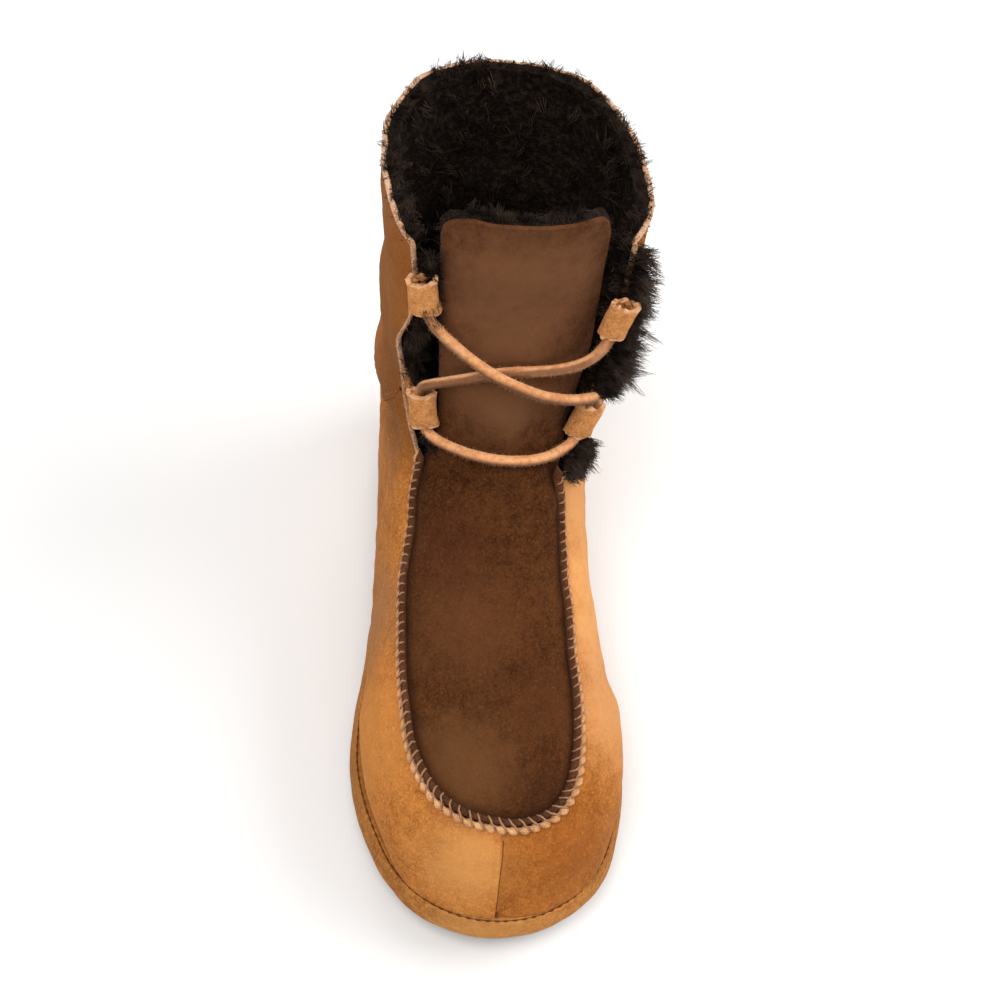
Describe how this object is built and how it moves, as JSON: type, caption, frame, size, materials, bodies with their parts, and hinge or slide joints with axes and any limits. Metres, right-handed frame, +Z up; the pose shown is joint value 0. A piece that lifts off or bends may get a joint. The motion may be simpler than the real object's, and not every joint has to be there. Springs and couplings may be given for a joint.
{
  "type": "snow boot",
  "caption": "Ankle-high shearling-lined suede moccasin snow boot with a whipstitched apron, tongue, laced loops, wrapped platform and rubber outsole; right foot.",
  "frame": {"origin": "on the floor under the middle of the boot's box", "axes": "+Z up, toe towards -Y, heel towards +Y, medial (inner) side towards +X"},
  "size_m": [0.1075, 0.277, 0.208],
  "materials": {
    "chestnut": "napped suede",
    "wrap": "coarse napped suede",
    "chocolate": "napped dark suede",
    "rubber": "matte moulded rubber",
    "pile": "dark curly pile",
    "loop": "rolled suede",
    "lace": "round leather cord"
  },
  "bodies": {
    "root": {"outsole": "rubber", "platform_wrap": "wrap", "insole": "pile", "upper": "chestnut", "apron_tongue": "chocolate", "loop_lateral_low": "loop", "loop_medial_low": "loop", "loop_lateral_high": "loop", "loop_medial_high": "loop", "lace": "lace"}
  },
  "joints": []
}
